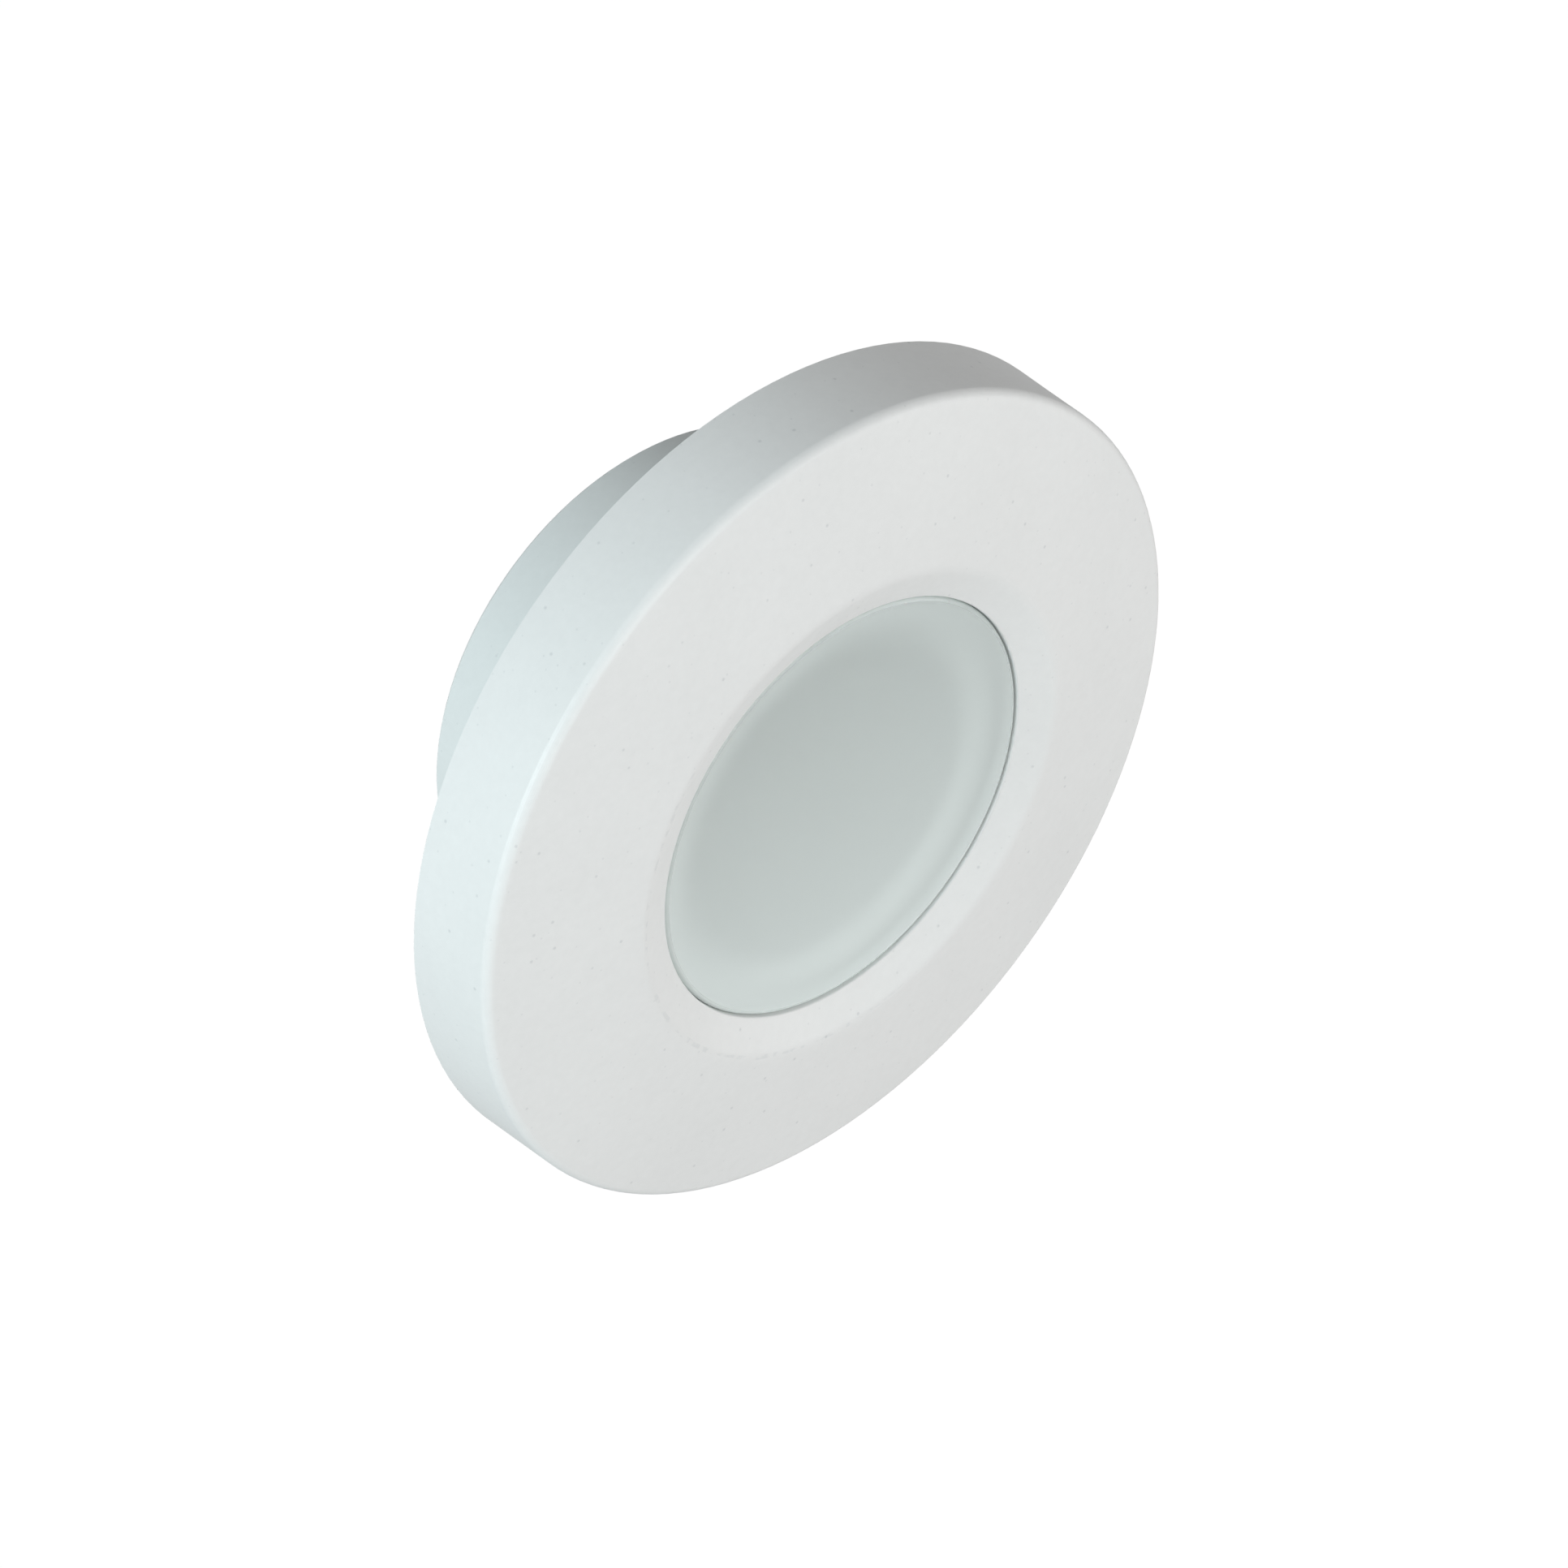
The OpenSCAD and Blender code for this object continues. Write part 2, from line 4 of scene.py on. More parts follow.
import bmesh
import bpy
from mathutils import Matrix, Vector

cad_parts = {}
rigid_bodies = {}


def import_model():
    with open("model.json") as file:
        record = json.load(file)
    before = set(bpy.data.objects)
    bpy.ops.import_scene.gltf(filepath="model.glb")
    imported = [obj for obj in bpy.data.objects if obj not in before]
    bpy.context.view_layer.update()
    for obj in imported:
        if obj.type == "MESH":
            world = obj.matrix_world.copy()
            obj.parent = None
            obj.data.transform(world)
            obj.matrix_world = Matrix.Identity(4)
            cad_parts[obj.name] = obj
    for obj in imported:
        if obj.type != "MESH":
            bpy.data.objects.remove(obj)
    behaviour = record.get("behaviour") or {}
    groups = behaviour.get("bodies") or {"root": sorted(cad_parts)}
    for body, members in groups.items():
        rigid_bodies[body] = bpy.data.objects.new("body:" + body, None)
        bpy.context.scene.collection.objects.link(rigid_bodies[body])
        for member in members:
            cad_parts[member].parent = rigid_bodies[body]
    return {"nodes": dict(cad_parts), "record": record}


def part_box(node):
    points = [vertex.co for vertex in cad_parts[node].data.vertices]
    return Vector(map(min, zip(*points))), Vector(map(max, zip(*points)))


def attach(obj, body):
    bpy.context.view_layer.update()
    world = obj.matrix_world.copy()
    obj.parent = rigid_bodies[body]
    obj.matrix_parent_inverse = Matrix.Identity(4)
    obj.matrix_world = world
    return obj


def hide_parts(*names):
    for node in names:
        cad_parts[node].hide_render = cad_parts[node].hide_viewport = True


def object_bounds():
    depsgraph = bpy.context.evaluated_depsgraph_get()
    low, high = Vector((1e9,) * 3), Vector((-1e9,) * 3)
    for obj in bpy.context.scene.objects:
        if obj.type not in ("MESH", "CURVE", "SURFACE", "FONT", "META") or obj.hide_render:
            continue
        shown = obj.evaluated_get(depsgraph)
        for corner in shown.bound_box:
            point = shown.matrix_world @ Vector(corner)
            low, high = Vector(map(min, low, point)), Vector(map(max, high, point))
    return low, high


# An underwater pool light. The wall is the plane Y = 0, the lens faces -Y and +Z is up.
# Lengths are metres, and profiles are (radius, y) pairs round the Y axis.

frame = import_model()
cad_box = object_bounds()
nodes = frame["nodes"]

MM = 0.001
MICRON = 1e-6
TURN = 2 * math.pi

ROUND_SEGMENTS = 192
SHARP_ANGLE = math.radians(24)
FLAT_ANGLE = math.radians(0.2)
EDGE_ROUND = 0.1 * MM
FINE_ROUND = 0.035 * MM
SAME_POINT = 0.001 * MM

SPECK_GREY = (0.33, 0.36, 0.38, 1)
LINE_GREY = (0.4, 0.44, 0.46, 1)
PLATED_GOLD = (0.72, 0.62, 0.38, 1)
TINNED_GREY = (0.7, 0.7, 0.68, 1)


# ---- Measures taken from the frame ----

def radius_of(name, low_y=-1.0, high_y=1.0):
    """The largest distance from the Y axis of a CAD node's corners between two values of y."""
    corners = (v.co for v in nodes[name].data.vertices)
    return max(math.hypot(p.x, p.z) for p in corners if low_y <= p.y <= high_y)


# ---- Node material helpers ----

class Look:
    """A Principled material and short ways to add procedural patterns, in the object's own coordinates."""

    def __init__(self, name, color, roughness, **constants):
        self.material = bpy.data.materials.new("look_" + name)
        self.material.use_nodes = True
        self.tree = self.material.node_tree
        self.shader = self.tree.nodes["Principled BSDF"]
        self.color = tuple(color[:3]) + (1.0,)
        self.set(Base_Color=self.color, Roughness=roughness, **constants)
        self.place = self.add("TexCoord").outputs["Object"]

    def set(self, **constants):
        for name, value in constants.items():
            self.shader.inputs[name.replace("_", " ")].default_value = value

    def add(self, kind, **settings):
        node = self.tree.nodes.new("ShaderNode" + kind)
        for name, value in settings.items():
            setattr(node, name, value)
        return node

    def link(self, source, target):
        self.tree.links.new(source, target)

    def put(self, socket, value):
        """Links an output to the socket, or sets its value."""
        if isinstance(value, bpy.types.NodeSocket):
            self.link(value, socket)
        else:
            socket.default_value = value

    def math(self, operation, a, b=0.0, clamp=False):
        node = self.add("Math", operation=operation, use_clamp=clamp)
        self.put(node.inputs[0], a)
        self.put(node.inputs[1], b)
        return node.outputs[0]

    def stretch(self, value, low, high, to_low=0.0, to_high=1.0, smooth=False):
        """Maps low to high onto to_low to to_high, and holds the end values outside."""
        node = self.add("MapRange", interpolation_type="SMOOTHSTEP" if smooth else "LINEAR")
        self.put(node.inputs["Value"], value)
        limits = {"From Min": low, "From Max": high, "To Min": to_low, "To Max": to_high}
        for name, number in limits.items():
            node.inputs[name].default_value = number
        return node.outputs["Result"]

    def noise(self, size, detail=2.0, roughness=0.5, place=None):
        """Noise whose blotches are about size metres wide."""
        node = self.add("TexNoise")
        self.link(place or self.place, node.inputs["Vector"])
        node.inputs["Scale"].default_value = 1 / size
        node.inputs["Detail"].default_value = detail
        node.inputs["Roughness"].default_value = roughness
        return node.outputs["Fac"]

    def specks(self, spacing, radius, share):
        """1 inside sparse round specks, which that share of the pattern's cells has."""
        node = self.add("TexVoronoi", feature="F1")
        self.link(self.place, node.inputs["Vector"])
        node.inputs["Scale"].default_value = 1 / spacing
        chosen = self.add("SeparateColor")
        self.link(node.outputs["Color"], chosen.inputs["Color"])
        edge, core = radius / spacing, 0.3 * radius / spacing
        near = self.stretch(node.outputs["Distance"], edge, core, smooth=True)
        return self.math("MULTIPLY", near, self.math("LESS_THAN", chosen.outputs["Red"], share))

    def axes(self):
        node = self.add("SeparateXYZ")
        self.link(self.place, node.inputs["Vector"])
        return node.outputs["X"], node.outputs["Y"], node.outputs["Z"]

    def distance(self, x, z, middle_x=0.0, middle_z=0.0):
        """Distance across the part's axis from a point beside it."""
        side = self.math("SUBTRACT", x, middle_x)
        rise = self.math("SUBTRACT", z, middle_z)
        squares = self.math("ADD", self.math("MULTIPLY", side, side), self.math("MULTIPLY", rise, rise))
        return self.math("SQRT", squares)

    def radius(self):
        """Distance from the part's axis."""
        x, _, z = self.axes()
        return self.distance(x, z)

    def round_place(self, around, along):
        """Coordinates for marks that run round the part's axis, so many radians long and so wide."""
        x, y, z = self.axes()
        place = self.add("CombineXYZ")
        self.link(self.math("MULTIPLY", self.radius(), 1 / along), place.inputs["X"])
        self.link(self.math("MULTIPLY", self.math("ARCTAN2", z, x), 1 / around), place.inputs["Y"])
        self.link(self.math("MULTIPLY", y, 1 / along), place.inputs["Z"])
        return place.outputs["Vector"]

    def mix(self, factor, a, b):
        node = self.add("Mix", data_type="RGBA")
        self.put(node.inputs["Factor"], factor)
        self.put(node.inputs["A"], a)
        self.put(node.inputs["B"], b)
        return node.outputs["Result"]

    def shade(self, share):
        """The material's own colour, lightened or darkened."""
        return tuple(min(1.0, c * share) for c in self.color[:3]) + (1.0,)

    def bump(self, height, depth, strength=1.0):
        """Adds relief of that depth in metres, on top of what there is."""
        node = self.add("Bump")
        node.inputs["Strength"].default_value = strength
        node.inputs["Distance"].default_value = depth
        self.link(height, node.inputs["Height"])
        normal = self.shader.inputs["Normal"]
        if normal.is_linked:
            self.link(normal.links[0].from_socket, node.inputs["Normal"])
        self.link(node.outputs["Normal"], normal)

    def vary(self, factor, dark, light):
        """Runs the base colour between two shades of its own, and the roughness a little with it."""
        color = self.mix(factor, self.shade(dark), self.shade(light))
        self.link(color, self.shader.inputs["Base Color"])
        roughness = self.shader.inputs["Roughness"].default_value
        self.vary_roughness(factor, roughness - 0.04, roughness + 0.05)

    def vary_roughness(self, factor, low, high):
        self.link(self.stretch(factor, 0.3, 0.7, low, high), self.shader.inputs["Roughness"])


# ---- Materials, one function each, named after the record's slots ----

def moulded_white(name, color, roughness, grain):
    """Injection moulded white plastic: fine spark-eroded grain, faint mottling and small grey specks."""
    look = Look(name, color, roughness, Specular_IOR_Level=0.45)
    flow = look.noise(14 * MM, detail=3.0)
    mottle = look.noise(0.9 * MM, detail=3.0, roughness=0.7)
    cloud = look.stretch(look.math("ADD", flow, mottle), 0.6, 1.4)
    clouds = look.mix(cloud, look.shade(0.97), look.shade(1.02))
    speck = look.math("MULTIPLY", look.specks(spacing=2.1 * MM, radius=0.22 * MM, share=0.75), 0.26)
    fine_speck = look.math("MULTIPLY", look.specks(spacing=1.1 * MM, radius=0.14 * MM, share=0.6), 0.15)
    spotted = look.mix(look.math("MAXIMUM", speck, fine_speck), clouds, SPECK_GREY)
    look.link(spotted, look.shader.inputs["Base Color"])
    look.vary_roughness(look.noise(1.5 * MM, detail=3.0), roughness - 0.04, roughness + 0.06)
    look.bump(look.noise(grain), depth=6 * MICRON, strength=0.5)
    look.bump(look.noise(5 * MM, detail=1.0), depth=20 * MICRON, strength=0.4)
    return look


def bezel_plastic(color):
    """White plastic with a broken witness line where the countersink starts, clearest on one side."""
    look = moulded_white("bezel_plastic", color, roughness=0.42, grain=0.25 * MM)
    crest, line_share = 23.6 * MM, 0.16
    off = look.math("ABSOLUTE", look.math("SUBTRACT", look.radius(), crest))
    wobble = look.math("MULTIPLY", look.noise(2.5 * MM, detail=2.0), 0.45 * MM)
    line = look.stretch(look.math("SUBTRACT", off, wobble), 0.0, -0.12 * MM, smooth=True)
    broken = look.stretch(look.noise(0.9 * MM, detail=3.0), 0.48, 0.58)
    x, _, z = look.axes()
    slanted = look.math("ADD", x, look.math("MULTIPLY", z, 0.5))
    side = look.stretch(slanted, 4 * MM, -14 * MM, 0.15, 1.0)
    line = look.math("MULTIPLY", look.math("MULTIPLY", line, broken), side)
    base = look.shader.inputs["Base Color"]
    marked = look.mix(look.math("MULTIPLY", line, line_share), base.links[0].from_socket, LINE_GREY)
    look.link(marked, base)
    look.bump(look.math("SUBTRACT", 1.0, line), depth=10 * MICRON, strength=0.5)
    return look.material


def body_plastic(color):
    return moulded_white("body_plastic", color, roughness=0.46, grain=0.3 * MM).material


def frosted_glass(_):
    """Thick tinted glass, frosted in front and ground on its back and edge.

    The frosting is uneven, and its unevenness is painted light and shade: thinner towards the top as painted
    shade, and milkier low down, in a ring a little off centre and in a band near the rim as painted light.
    """
    look = Look("frosted_glass", GLASS_TINT, FACE_ROUGHNESS, IOR=1.5, Specular_IOR_Level=0.3)
    radius = look.radius()
    x, y, z = look.axes()
    ring = look.distance(x, z, middle_x=-2 * MM, middle_z=2 * MM)
    # Painted light and shade: milkier towards the bottom and thinner towards the top, then steps that make a
    # milkier ring a little off centre and a milkier band near the rim.
    frost_with_painted_light_and_shade = look.stretch(z, -20 * MM, 20 * MM, FROST_BOTTOM_PAINTED_LIGHT, FROST_TOP_PAINTED_SHADE)
    for across, start, end, painted_light_shade_step in (
        (ring, 14 * MM, 17 * MM, 0.07),
        (ring, 17.5 * MM, 21.5 * MM, -0.08),
        (radius, 17.5 * MM, 19.5 * MM, 0.06),
    ):
        frost_with_painted_light_and_shade = look.math("ADD", frost_with_painted_light_and_shade, look.stretch(across, start, end, 0.0, painted_light_shade_step, smooth=True))
    behind_face = look.stretch(y, lens_low.y + 0.6 * MM, lens_low.y + 1.0 * MM)
    # Painted shade and painted light on the back: greyer and less milky in the middle, whiter and milkier
    # towards the border.
    painted_light_border = look.stretch(radius, 0.78 * LENS_FACE_R, 0.90 * LENS_FACE_R, smooth=True)
    rim = look.stretch(radius, LENS_FLAT_R - 0.2 * MM, LENS_FLAT_R + 0.2 * MM, smooth=True)
    rim = look.math("SUBTRACT", rim, behind_face, clamp=True)
    chips = look.math("MULTIPLY", look.specks(spacing=1.3 * MM, radius=0.3 * MM, share=0.13), rim)
    milk_with_painted_light_and_shade = look.math("MULTIPLY", behind_face, look.stretch(painted_light_border, 0.0, 1.0, BACK_MILK_PAINTED_SHADE, 1.0))
    milk_with_painted_light_and_shade = look.math("MAXIMUM", look.math("MAXIMUM", milk_with_painted_light_and_shade, frost_with_painted_light_and_shade), chips)
    look.link(look.math("SUBTRACT", 1.0, milk_with_painted_light_and_shade), look.shader.inputs["Transmission Weight"])
    look.link(look.stretch(rim, 0.0, 1.0, FACE_ROUGHNESS, RIM_ROUGHNESS), look.shader.inputs["Roughness"])
    cloud = look.mix(look.noise(9 * MM, detail=3.0), look.shade(0.985), look.shade(1.01))
    dust = look.math("MULTIPLY", look.specks(spacing=0.9 * MM, radius=0.09 * MM, share=0.22), 0.25)
    face = look.mix(dust, cloud, look.shade(0.75))
    body = look.mix(behind_face, face, look.mix(painted_light_border, BACK_PAINTED_SHADE_WHITE, BORDER_PAINTED_LIGHT_AND_CHIP_WHITE))
    look.link(look.mix(chips, body, BORDER_PAINTED_LIGHT_AND_CHIP_WHITE), look.shader.inputs["Base Color"])
    look.bump(look.noise(0.12 * MM, detail=2.0), depth=4 * MICRON, strength=0.6)
    look.bump(chips, depth=60 * MICRON, strength=0.8)
    return look.material


def black_rubber(color):
    look = Look("black_rubber", color, 0.62, Specular_IOR_Level=0.4)
    look.vary(look.noise(3 * MM, detail=4.0, roughness=0.6), dark=0.8, light=1.5)
    look.vary_roughness(look.noise(1 * MM, detail=3.0), low=0.52, high=0.74)
    look.bump(look.noise(0.18 * MM, detail=3.0), depth=12 * MICRON, strength=0.6)
    return look.material


def silicone(color):
    look = Look("silicone", color, 0.45, Subsurface_Weight=0.15, Subsurface_Scale=0.5 * MM)
    look.vary(look.noise(4 * MM, detail=3.0), dark=0.93, light=1.05)
    look.bump(look.noise(0.3 * MM, detail=2.0), depth=8 * MICRON, strength=0.5)
    return look.material


def stainless(color):
    """Turned and brushed stainless steel, with its brush marks round the part's axis."""
    look = Look("stainless", color, 0.28, Metallic=1.0)
    brushed = look.noise(1.0, 4.0, 0.65, look.round_place(0.25, 0.06 * MM))
    look.vary(look.noise(6 * MM, detail=3.0), dark=0.92, light=1.05)
    look.vary_roughness(brushed, low=0.2, high=0.38)
    look.bump(brushed, depth=3 * MICRON, strength=0.5)
    return look.material


def reflector_white(color):
    look = Look("reflector_white", color, 0.5)
    look.vary(look.noise(5 * MM, detail=3.0), dark=0.98, light=1.01)
    look.bump(look.noise(0.25 * MM, detail=2.0), depth=6 * MICRON, strength=0.5)
    return look.material


def board_white(color):
    """White solder mask over copper rings that join the LEDs."""
    look = Look("board_white", color, 0.34)
    rings = look.math("SINE", look.math("MULTIPLY", look.radius(), TURN / (2.7 * MM)))
    copper = look.stretch(rings, -0.35, -0.1)
    look.link(look.mix(copper, look.shade(0.95), look.shade(1.02)), look.shader.inputs["Base Color"])
    look.vary_roughness(look.noise(1 * MM, detail=3.0), low=0.28, high=0.4)
    look.bump(copper, depth=30 * MICRON, strength=0.7)
    return look.material


def led_case(color):
    look = Look("led_case", color, 0.4)
    look.vary(look.noise(0.8 * MM, detail=2.0), dark=0.96, light=1.03)
    look.bump(look.noise(0.15 * MM, detail=2.0), depth=4 * MICRON, strength=0.4)
    return look.material


def phosphor(color):
    look = Look("phosphor", color, 0.22, Subsurface_Weight=0.2, Subsurface_Scale=0.4 * MM, Coat_Weight=0.4)
    look.vary(look.noise(0.35 * MM, detail=3.0), dark=0.9, light=1.06)
    look.bump(look.noise(0.2 * MM, detail=2.0), depth=3 * MICRON, strength=0.4)
    return look.material


def thermal_silicone(color):
    look = Look("thermal_silicone", color, 0.7)
    look.vary(look.noise(0.4 * MM, detail=4.0, roughness=0.7), dark=0.85, light=1.1)
    look.bump(look.noise(0.3 * MM, detail=3.0), depth=15 * MICRON, strength=0.7)
    return look.material


def raw_aluminium(color):
    look = Look("raw_aluminium", color, 0.35, Metallic=1.0)
    turned = look.math("SINE", look.math("MULTIPLY", look.radius(), TURN / (0.16 * MM)))
    look.vary(look.noise(4 * MM, detail=4.0), dark=0.9, light=1.05)
    look.vary_roughness(look.noise(1 * MM, detail=4.0), low=0.28, high=0.45)
    look.bump(turned, depth=4 * MICRON, strength=0.6)
    return look.material


def board_green(color):
    """Green solder mask with tracks under it and small holes with plated rims."""
    look = Look("board_green", color, 0.3, Coat_Weight=0.2)
    tracks = look.add("TexBrick", offset=0.37)
    x, _, z = look.axes()
    flat = look.add("CombineXYZ")
    look.link(x, flat.inputs["X"])
    look.link(z, flat.inputs["Y"])
    look.link(flat.outputs["Vector"], tracks.inputs["Vector"])
    tracks.inputs["Scale"].default_value = 1 / (2.2 * MM)
    tracks.inputs["Mortar Size"].default_value = 0.06
    tracks.inputs["Mortar Smooth"].default_value = 0.4
    copper = tracks.outputs["Fac"]
    painted = look.mix(copper, look.shade(0.9), look.shade(1.7))
    vias = look.specks(spacing=3.1 * MM, radius=0.3 * MM, share=0.4)
    look.link(look.mix(vias, painted, PLATED_GOLD), look.shader.inputs["Base Color"])
    look.vary_roughness(look.noise(1 * MM, detail=3.0), low=0.25, high=0.36)
    look.bump(copper, depth=25 * MICRON, strength=0.6)
    return look.material


def brass(color):
    look = Look("brass", color, 0.26, Metallic=1.0)
    look.vary(look.noise(1.5 * MM, detail=4.0), dark=0.86, light=1.05)
    look.vary_roughness(look.noise(0.5 * MM, detail=3.0), low=0.2, high=0.38)
    look.bump(look.noise(0.08 * MM, detail=2.0), depth=2 * MICRON, strength=0.5)
    return look.material


def black_moulding(color):
    look = Look("black_moulding", color, 0.55)
    look.vary(look.noise(0.6 * MM, detail=4.0), dark=0.85, light=1.2)
    look.bump(look.noise(0.09 * MM, detail=3.0), depth=5 * MICRON, strength=0.8)
    return look.material


def ferrite(color):
    look = Look("ferrite", color, 0.5, Metallic=0.2)
    look.vary(look.noise(0.2 * MM, detail=4.0, roughness=0.7), dark=0.75, light=1.25)
    look.bump(look.noise(0.12 * MM, detail=4.0), depth=8 * MICRON, strength=0.8)
    return look.material


def copper_wire(color):
    """Enamelled copper."""
    look = Look("copper_wire", color, 0.3, Metallic=1.0, Coat_Weight=0.6, Coat_Roughness=0.12)
    look.vary(look.noise(0.8 * MM, detail=3.0), dark=0.85, light=1.08)
    look.bump(look.noise(0.1 * MM, detail=2.0), depth=2 * MICRON, strength=0.4)
    return look.material


def can_aluminium(color):
    look = Look("can_aluminium", color, 0.3, Metallic=0.9)
    look.vary(look.noise(1.2 * MM, detail=3.0), dark=0.92, light=1.04)
    look.bump(look.noise(0.06 * MM, detail=2.0), depth=2 * MICRON, strength=0.4)
    return look.material


def resistor_ceramic(color):
    """Black glaze between tinned end caps."""
    look = Look("resistor_ceramic", color, 0.35)
    _, _, z = look.axes()
    low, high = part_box("resistors")
    middle, half = (low.z + high.z) / 2, (high.z - low.z) / 2
    out = look.math("ABSOLUTE", look.math("SUBTRACT", z, middle))
    cap = look.math("GREATER_THAN", out, 0.62 * half)
    look.link(look.mix(cap, look.color, TINNED_GREY), look.shader.inputs["Base Color"])
    look.link(cap, look.shader.inputs["Metallic"])
    look.vary_roughness(look.noise(0.4 * MM, detail=3.0), low=0.28, high=0.42)
    look.bump(look.noise(0.1 * MM, detail=2.0), depth=4 * MICRON, strength=0.6)
    return look.material


def terminal_green(color):
    look = Look("terminal_green", color, 0.38)
    look.vary(look.noise(2 * MM, detail=3.0), dark=0.94, light=1.05)
    look.bump(look.noise(0.2 * MM, detail=2.0), depth=5 * MICRON, strength=0.5)
    return look.material


MAKERS = (
    bezel_plastic, body_plastic, frosted_glass, black_rubber, silicone, stainless, reflector_white,
    board_white, led_case, phosphor, thermal_silicone, raw_aluminium, board_green, brass,
    black_moulding, ferrite, copper_wire, can_aluminium, resistor_ceramic, terminal_green,
)

lens_low, lens_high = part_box("lens")
FIT_GROWTH = 0.04 * MM
LENS_FACE_R = radius_of("lens", high_y=lens_low.y + 3 * MM) + FIT_GROWTH
LENS_FLAT_R = radius_of("lens", high_y=lens_low.y + MICRON)
GLASS_TINT = (0.91, 0.99, 0.967)
FACE_ROUGHNESS = 0.36
RIM_ROUGHNESS = 0.22
# Painted light and shade in the lens: the frost runs from milkier at the bottom to thinner at the top.
FROST_BOTTOM_PAINTED_LIGHT = 0.73
FROST_TOP_PAINTED_SHADE = 0.445
# Painted shade in the middle of the lens's back and painted light at its border; the border white is also
# the white of the chips on the rim.
BACK_MILK_PAINTED_SHADE = 0.7
BACK_PAINTED_SHADE_WHITE = (0.86, 0.87, 0.86, 1)
BORDER_PAINTED_LIGHT_AND_CHIP_WHITE = (0.97, 0.98, 0.975, 1)

slot_color = {m["slot"]: m["base_color"] for m in frame["record"]["materials"]}
looks = {make.__name__: make(slot_color[make.__name__]) for make in MAKERS}
slot_of = {row["node"]: row["material_slot"] for row in frame["record"]["subparts"]}
for node_name, slot in slot_of.items():
    nodes[node_name].data.materials[0] = looks[slot]


# ---- Mesh helpers ----

def arc(centre, radius, start, end, steps):
    """Points of a profile's rounded corner, with angles in degrees from the outward direction towards +Y."""
    return [
        (centre[0] + radius * math.cos(math.radians(start + (end - start) * i / steps)),
         centre[1] + radius * math.sin(math.radians(start + (end - start) * i / steps)))
        for i in range(steps + 1)
    ]


def lathe(name, profile):
    """A solid of revolution round the Y axis. Its profile starts and ends on the axis."""
    mesh = bmesh.new()
    rings = []
    for radius, y in profile:
        if radius == 0:
            rings.append([mesh.verts.new((0, y, 0))] * ROUND_SEGMENTS)
        else:
            rings.append(circle(mesh, Vector((0, y, 0)), radius, ROUND_SEGMENTS))
    for a, b in zip(rings, rings[1:]):
        join_rings(mesh, a, b)
    bmesh.ops.recalc_face_normals(mesh, faces=mesh.faces)
    return new_piece(name, mesh)


def circle(mesh, centre, radius, count):
    """A ring of corners round the direction of the Y axis."""
    angles = [TURN * i / count for i in range(count)]
    return [mesh.verts.new(centre + radius * Vector((math.cos(a), 0, math.sin(a)))) for a in angles]


def join_rings(mesh, a, b):
    """Joins two rings with quads, or with triangles where one of them is a single corner."""
    for i in range(len(a)):
        j = (i + 1) % len(a)
        mesh.faces.new(list(dict.fromkeys((a[i], b[i], b[j], a[j]))))


def new_piece(name, mesh):
    """Turns a bmesh into a smooth-shaded object with its sharp edges marked."""
    data = bpy.data.meshes.new(name)
    for face in mesh.faces:
        face.smooth = True
    mesh.to_mesh(data)
    mesh.free()
    data.set_sharp_from_angle(angle=SHARP_ANGLE)
    piece = bpy.data.objects.new(name, data)
    bpy.context.scene.collection.objects.link(piece)
    return piece


def finish_piece(piece, slot, body, *replaced):
    piece.data.materials.append(looks[slot])
    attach(piece, body)
    if replaced:
        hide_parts(*replaced)
    return piece


def rounded(name, width):
    """Replaces a CAD node by a copy whose sharp edges are rounded a little, as by moulding and deburring."""
    node = nodes[name]
    mesh = bmesh.new()
    mesh.from_mesh(node.data)
    bmesh.ops.remove_doubles(mesh, verts=mesh.verts, dist=SAME_POINT)
    bmesh.ops.dissolve_degenerate(mesh, dist=SAME_POINT, edges=mesh.edges)
    bmesh.ops.dissolve_limit(mesh, angle_limit=FLAT_ANGLE, verts=mesh.verts, edges=mesh.edges)
    sharp = [e for e in mesh.edges if e.is_manifold and e.calc_face_angle() > SHARP_ANGLE]
    bmesh.ops.bevel(
        mesh, geom=sharp, offset=width, segments=2, profile=0.5, affect="EDGES", clamp_overlap=False,
    )
    bmesh.ops.remove_doubles(mesh, verts=mesh.verts, dist=SAME_POINT)
    bmesh.ops.dissolve_degenerate(mesh, dist=SAME_POINT, edges=mesh.edges)
    piece = new_piece(name + "_rounded", mesh)
    weighted = piece.modifiers.new("normals", "WEIGHTED_NORMAL")
    weighted.keep_sharp = True
    body = node.parent.name.removeprefix("body:")
    return finish_piece(piece, slot_of[name], body, name)


# ---- Pieces ----

def lens_glass():
    """The lens as fine quads, so that its polished rim refracts cleanly."""
    back, front = lens_high.y, lens_low.y
    flange_r = radius_of("lens")
    step_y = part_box("lens_ring")[1].y
    rim, chamfer = LENS_FACE_R - LENS_FLAT_R, 0.3 * MM
    face_rings, rim_rings = 12, 14
    flat = [(LENS_FLAT_R * i / face_rings, front) for i in range(face_rings)]
    profile = flat + arc((LENS_FLAT_R, front + rim), rim, -90, 0, rim_rings)
    profile += [(LENS_FACE_R, step_y), (flange_r, step_y)]
    profile += [(flange_r, back - chamfer), (flange_r - chamfer, back), (0, back)]
    return finish_piece(lathe("lens_glass", profile), "frosted_glass", "root", "lens")


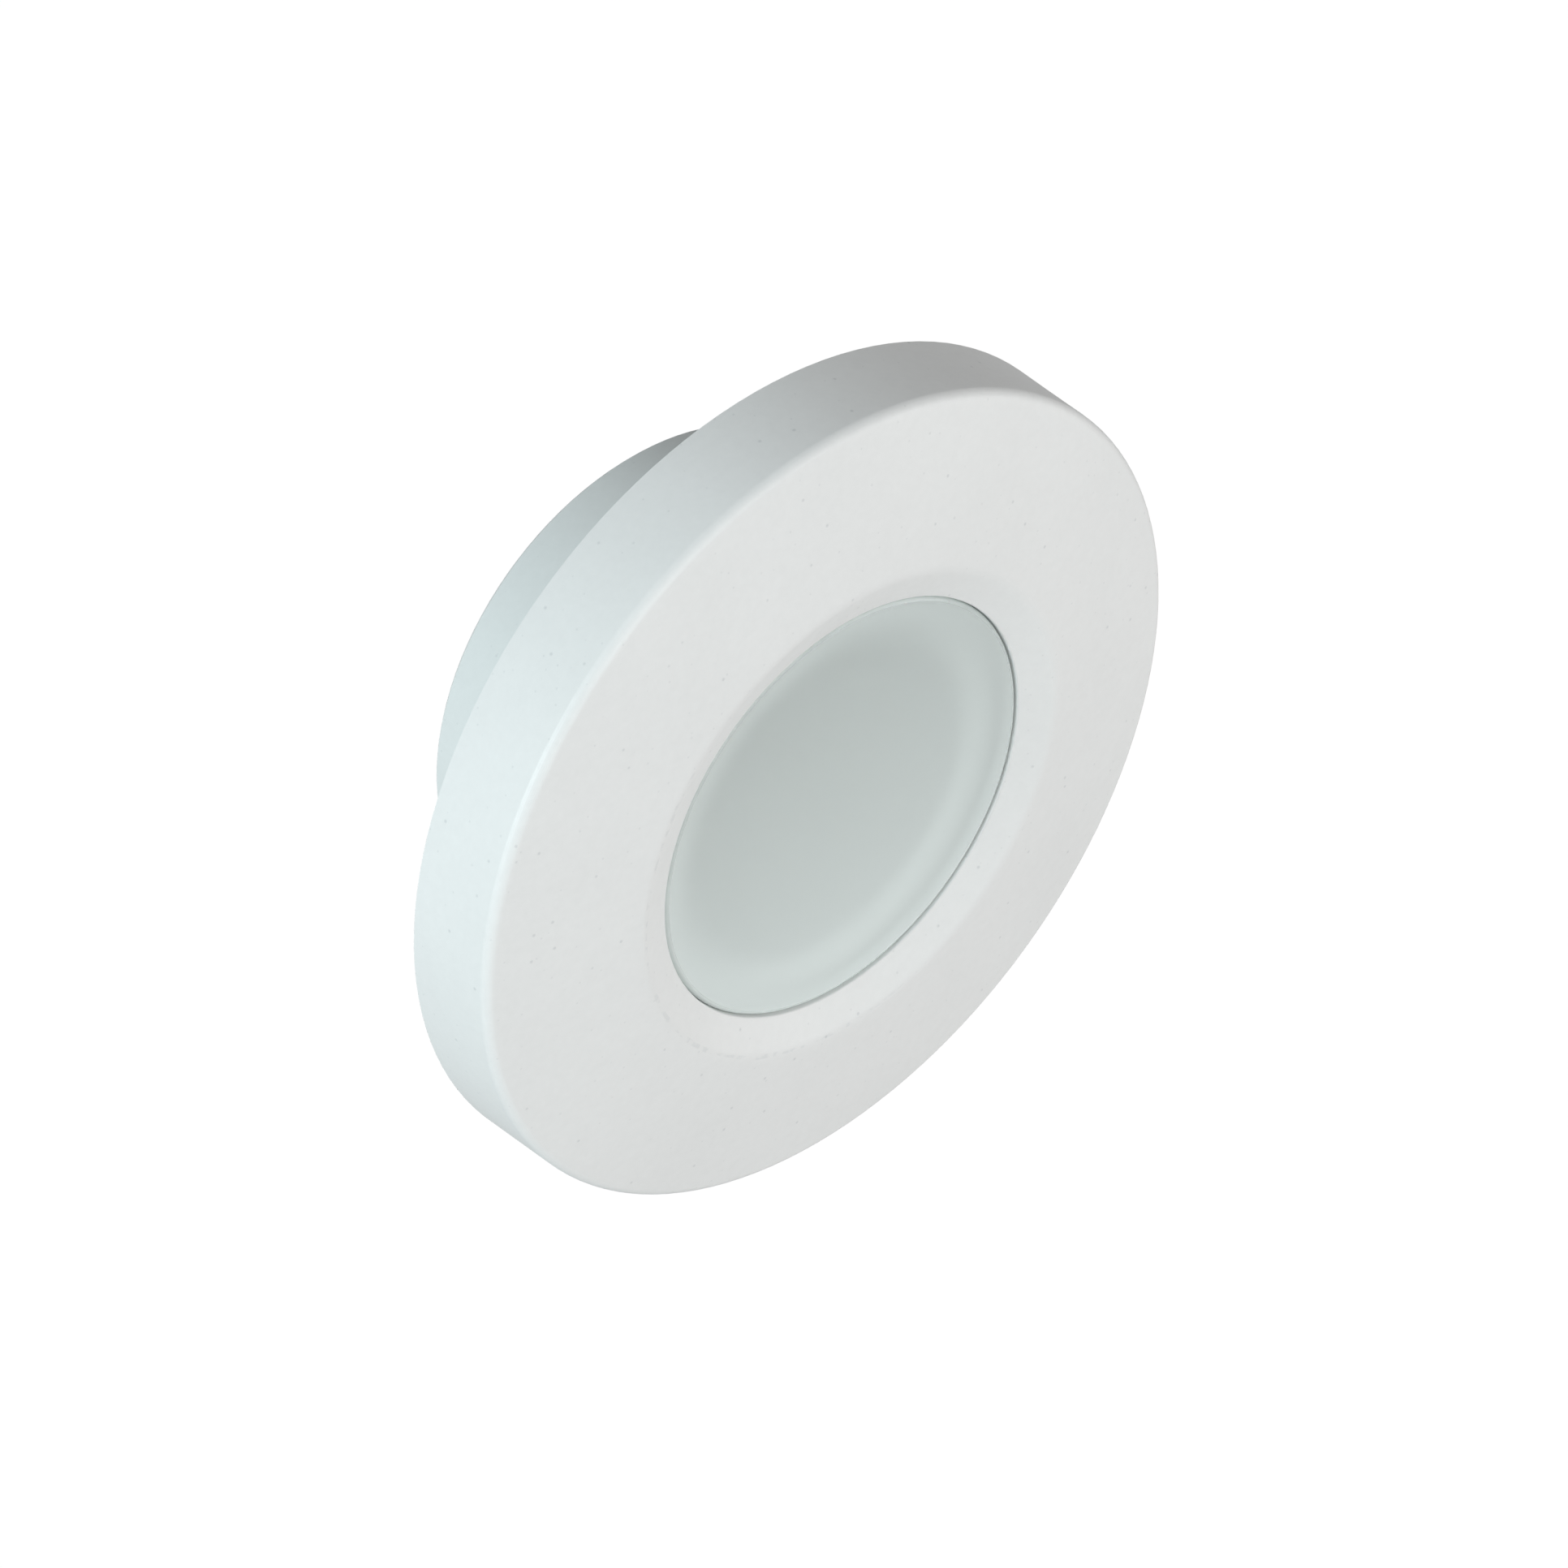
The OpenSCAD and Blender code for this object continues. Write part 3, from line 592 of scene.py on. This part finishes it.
def coil():
    """The inductor's winding: one layer of round wire on a sleeve."""
    low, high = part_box("inductor_coil")
    bottom = Vector(((low.x + high.x) / 2, low.y, (low.z + high.z) / 2))
    height, outer = high.y - low.y, (high.x - low.x) / 2
    pitch, wire_r = 0.28 * MM, 0.136 * MM
    turns = height / pitch - 1
    per_turn, wire_sides, sleeve_sides = 40, 8, 48
    up = Vector((0, 1, 0))
    mesh = bmesh.new()
    rings = []
    for i in range(int(turns * per_turn) + 1):
        angle = TURN * i / per_turn
        out = Vector((math.cos(angle), 0, math.sin(angle)))
        centre = bottom + (outer - wire_r) * out + (wire_r + pitch * i / per_turn) * up
        rings.append([
            mesh.verts.new(centre + wire_r * (math.cos(a) * out + math.sin(a) * up))
            for a in (TURN * j / wire_sides for j in range(wire_sides))
        ])
    for a, b in zip(rings, rings[1:]):
        join_rings(mesh, a, b)
    mesh.faces.new(rings[0])
    mesh.faces.new(reversed(rings[-1]))
    sleeve_outer, sleeve_inner = outer - 1.5 * wire_r, 0.62 * outer
    top = bottom + height * up
    corners = ((sleeve_outer, bottom), (sleeve_outer, top), (sleeve_inner, top), (sleeve_inner, bottom))
    sleeve = [circle(mesh, centre, radius, sleeve_sides) for radius, centre in corners]
    for a, b in zip(sleeve, sleeve[1:] + sleeve[:1]):
        join_rings(mesh, a, b)
    bmesh.ops.recalc_face_normals(mesh, faces=mesh.faces)
    return finish_piece(new_piece("coil_winding", mesh), "copper_wire", "root", "inductor_coil")


lens_glass()
coil()
for name in ("rear_cover", "gland_ring", "housing", "wall_gasket", "lens_ring", "led_lenses"):
    rounded(name, EDGE_ROUND)
rounded("gland_nut", FINE_ROUND)


# ---- Camera ----

AZIMUTH = math.radians(-42.22)
ELEVATION = math.radians(40.22)
BEZEL_RADIUS = (cad_box[1].x - cad_box[0].x) / 2 - 0.4 * MM
FRONT_CENTRE = Vector((0, -8 * MM, 0))


def aim_camera():
    """Looks from the front left and above. Its place is in bezel radii from the middle of the face."""
    away, to_right, upwards = 10, -0.1091, 0.0387
    a_sin, a_cos = math.sin(AZIMUTH), math.cos(AZIMUTH)
    e_sin, e_cos = math.sin(ELEVATION), math.cos(ELEVATION)
    back = Vector((a_sin * e_cos, -a_cos * e_cos, e_sin))
    right = Vector((a_cos, a_sin, 0))
    up = Vector((-a_sin * e_sin, a_cos * e_sin, e_cos))
    camera = bpy.data.objects.new("camera", bpy.data.cameras.new("camera"))
    bpy.context.scene.collection.objects.link(camera)
    camera.location = FRONT_CENTRE + BEZEL_RADIUS * (away * back + to_right * right + upwards * up)
    camera.rotation_mode = "QUATERNION"
    camera.rotation_quaternion = (-back).to_track_quat("-Z", "Y")
    camera.data.sensor_width = 36
    camera.data.lens = 105.2
    camera.data.clip_start, camera.data.clip_end = 0.01, 100
    bpy.context.scene.camera = camera


# ---- Stage and light ----

FLOOR_GLOW = 0.47
SKY_GLOW = 0.2
HORIZON = 0.1


def floor():
    """A plain floor below the part, which the camera sees as white. The world lights in its place."""
    side, below = 30.0, 0.12
    mesh = bmesh.new()
    bmesh.ops.create_grid(mesh, x_segments=1, y_segments=1, size=side)
    data = bpy.data.meshes.new("floor")
    mesh.to_mesh(data)
    mesh.free()
    plane = bpy.data.objects.new("floor", data)
    plane.location.z = cad_box[0].z - below
    bpy.context.scene.collection.objects.link(plane)
    look = Look("floor", (0, 0, 0), 1.0, Emission_Color=(1, 1, 1, 1), Emission_Strength=1.0)
    plane.data.materials.append(look.material)
    plane.visible_diffuse = plane.visible_glossy = plane.visible_transmission = False


def surroundings():
    """Soft light from all round, brighter from the floor's side. The camera sees plain white."""
    world = bpy.data.worlds.new("studio")
    world.use_nodes = True
    tree = world.node_tree
    background = tree.nodes["Background"]
    place = tree.nodes.new("ShaderNodeTexCoord")
    split = tree.nodes.new("ShaderNodeSeparateXYZ")
    glow = tree.nodes.new("ShaderNodeMapRange")
    seen = tree.nodes.new("ShaderNodeLightPath")
    white = tree.nodes.new("ShaderNodeMath")
    white.operation = "MAXIMUM"
    limits = {"From Min": -HORIZON, "From Max": HORIZON, "To Min": FLOOR_GLOW, "To Max": SKY_GLOW}
    for name, value in limits.items():
        glow.inputs[name].default_value = value
    background.inputs["Color"].default_value = (1, 1, 1, 1)
    tree.links.new(place.outputs["Generated"], split.inputs["Vector"])
    tree.links.new(split.outputs["Z"], glow.inputs["Value"])
    tree.links.new(glow.outputs["Result"], white.inputs[0])
    tree.links.new(seen.outputs["Is Camera Ray"], white.inputs[1])
    tree.links.new(white.outputs[0], background.inputs["Strength"])
    bpy.context.scene.world = world


def softbox(name, azimuth, elevation, brightness, color=(1, 1, 1)):
    """A round light 1 m from the part that lights a white surface facing it to that brightness.

    Azimuth 0 is straight in front of the lens, and it grows towards the part's right (+X).
    """
    distance, size = 1.0, 0.72
    around, above = math.radians(azimuth), math.radians(elevation)
    level = math.cos(above)
    out = Vector((math.sin(around) * level, -math.cos(around) * level, math.sin(above)))
    light = bpy.data.lights.new(name, "AREA")
    light.shape = "DISK"
    light.size = size
    light.energy = brightness * (math.pi * distance) ** 2
    light.color = color
    lamp = bpy.data.objects.new(name, light)
    lamp.location = out * distance
    lamp.rotation_mode = "QUATERNION"
    lamp.rotation_quaternion = out.to_track_quat("Z", "Y")
    bpy.context.scene.collection.objects.link(lamp)


aim_camera()
floor()
surroundings()
softbox("front_light", 0, 18, 0.39)
softbox("front_right_light", 45, 0, 0.30)
softbox("left_light", 270, 18, 0.74, (0.84, 0.967, 1.0))
softbox("rear_light", 180, 45, 0.1)
bpy.context.scene.view_settings.view_transform = "Standard"
